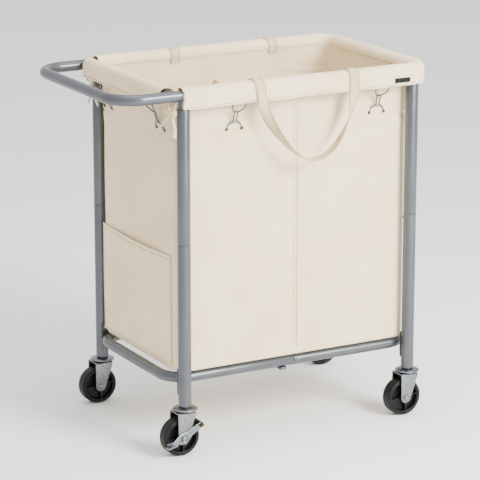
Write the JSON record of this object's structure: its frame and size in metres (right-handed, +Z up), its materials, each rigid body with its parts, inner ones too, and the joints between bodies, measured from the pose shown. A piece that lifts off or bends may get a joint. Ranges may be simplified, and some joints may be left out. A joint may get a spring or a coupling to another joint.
{
  "type": "rolling laundry sorter",
  "caption": "Rolling laundry sorter: a steel tube frame on swivel casters, with a push handle, carries a divided cloth bag that has webbing handles and a side pocket.",
  "frame": {"origin": "on the floor under the middle of the whole cart", "axes": "+X along the long side away from the push handle, +Y to the rear long side, +Z up"},
  "size_m": [0.8345, 0.5214, 0.857],
  "materials": {
    "frame_paint": "smooth satin grey paint on steel tube",
    "zinc": "bright zinc plating on pressed steel",
    "tyre_plastic": "black moulded plastic wheel with a satin tread",
    "canvas": "cream cotton-look woven polyester, plain weave",
    "webbing": "cream woven webbing, twill ribs",
    "board": "stiff board covered in the bag's cloth",
    "hook_wire": "nickel-plated bent wire",
    "label_cloth": "black woven label, blank"
  },
  "bodies": {
    "frame": {"post_lower_front_left": "frame_paint", "post_upper_front_left": "frame_paint", "base_bracket_front_left": "frame_paint", "post_lower_rear_left": "frame_paint", "post_upper_rear_left": "frame_paint", "base_bracket_rear_left": "frame_paint", "post_lower_front_right": "frame_paint", "post_upper_front_right": "frame_paint", "base_bracket_front_right": "frame_paint", "post_lower_rear_right": "frame_paint", "post_upper_rear_right": "frame_paint", "base_bracket_rear_right": "frame_paint", "base_ring_left": "frame_paint", "base_ring_right": "frame_paint", "handle_tube": "frame_paint", "rim_rail": "frame_paint", "base_crossbar": "frame_paint", "rim_crossbar": "frame_paint", "caster_stem_front_left": "zinc", "caster_race_front_left": "zinc", "caster_stem_rear_left": "zinc", "caster_race_rear_left": "zinc", "caster_stem_front_right": "zinc", "caster_race_front_right": "zinc", "caster_stem_rear_right": "zinc", "caster_race_rear_right": "zinc", "bag_shell": "canvas", "bag_divider": "canvas", "bottom_board_left": "board", "bottom_board_right": "board", "rim_sleeve": "canvas", "rim_sleeve_left": "canvas", "side_pocket": "canvas", "front_handle": "webbing", "rear_handle": "webbing", "flap_hook_front_left": "hook_wire", "flap_hook_front_right": "hook_wire", "flap_hook_rear_left": "hook_wire", "flap_hook_rear_right": "hook_wire", "flap_hook_left_front": "hook_wire", "flap_hook_left_rear": "hook_wire", "flap_hook_right_front": "hook_wire", "flap_hook_right_rear": "hook_wire", "rim_label": "label_cloth"},
    "caster_front_left_swivel": {"caster_fork_front_left": "zinc", "caster_axle_front_left": "zinc"},
    "caster_front_left_wheel": {"caster_wheel_front_left": "tyre_plastic"},
    "brake_front_left": {"brake_lever_front_left": "zinc", "brake_shoe_front_left": "zinc"},
    "caster_rear_left_swivel": {"caster_fork_rear_left": "zinc", "caster_axle_rear_left": "zinc"},
    "caster_rear_left_wheel": {"caster_wheel_rear_left": "tyre_plastic"},
    "caster_front_right_swivel": {"caster_fork_front_right": "zinc", "caster_axle_front_right": "zinc"},
    "caster_front_right_wheel": {"caster_wheel_front_right": "tyre_plastic"},
    "caster_rear_right_swivel": {"caster_fork_rear_right": "zinc", "caster_axle_rear_right": "zinc"},
    "caster_rear_right_wheel": {"caster_wheel_rear_right": "tyre_plastic"},
    "brake_rear_right": {"brake_lever_rear_right": "zinc", "brake_shoe_rear_right": "zinc"}
  },
  "joints": [
    {"name": "swivel_front_left", "type": "hinge", "parent": "frame", "child": "caster_front_left_swivel", "pos_m": [-0.245, -0.216, 0.104], "axis": [0, 0, 1], "continuous": true},
    {"name": "spin_front_left", "type": "hinge", "parent": "caster_front_left_swivel", "child": "caster_front_left_wheel", "pos_m": [-0.26, -0.216, 0.045], "axis": [0, 1, 0], "continuous": true},
    {"name": "brake_pedal_front_left", "type": "hinge", "parent": "caster_front_left_swivel", "child": "brake_front_left", "pos_m": [-0.26, -0.216, 0.045], "axis": [0, -1, 0], "range_deg": [0, 16]},
    {"name": "swivel_rear_left", "type": "hinge", "parent": "frame", "child": "caster_rear_left_swivel", "pos_m": [-0.245, 0.216, 0.104], "axis": [0, 0, 1], "continuous": true},
    {"name": "spin_rear_left", "type": "hinge", "parent": "caster_rear_left_swivel", "child": "caster_rear_left_wheel", "pos_m": [-0.26, 0.216, 0.045], "axis": [0, 1, 0], "continuous": true},
    {"name": "swivel_front_right", "type": "hinge", "parent": "frame", "child": "caster_front_right_swivel", "pos_m": [0.355, -0.216, 0.104], "axis": [0, 0, 1], "continuous": true},
    {"name": "spin_front_right", "type": "hinge", "parent": "caster_front_right_swivel", "child": "caster_front_right_wheel", "pos_m": [0.34, -0.216, 0.045], "axis": [0, 1, 0], "continuous": true},
    {"name": "swivel_rear_right", "type": "hinge", "parent": "frame", "child": "caster_rear_right_swivel", "pos_m": [0.355, 0.216, 0.104], "axis": [0, 0, 1], "continuous": true},
    {"name": "spin_rear_right", "type": "hinge", "parent": "caster_rear_right_swivel", "child": "caster_rear_right_wheel", "pos_m": [0.37, 0.216, 0.045], "axis": [0, 1, 0], "continuous": true},
    {"name": "brake_pedal_rear_right", "type": "hinge", "parent": "caster_rear_right_swivel", "child": "brake_rear_right", "pos_m": [0.37, 0.216, 0.045], "axis": [0, 1, 0], "range_deg": [0, 16]}
  ]
}
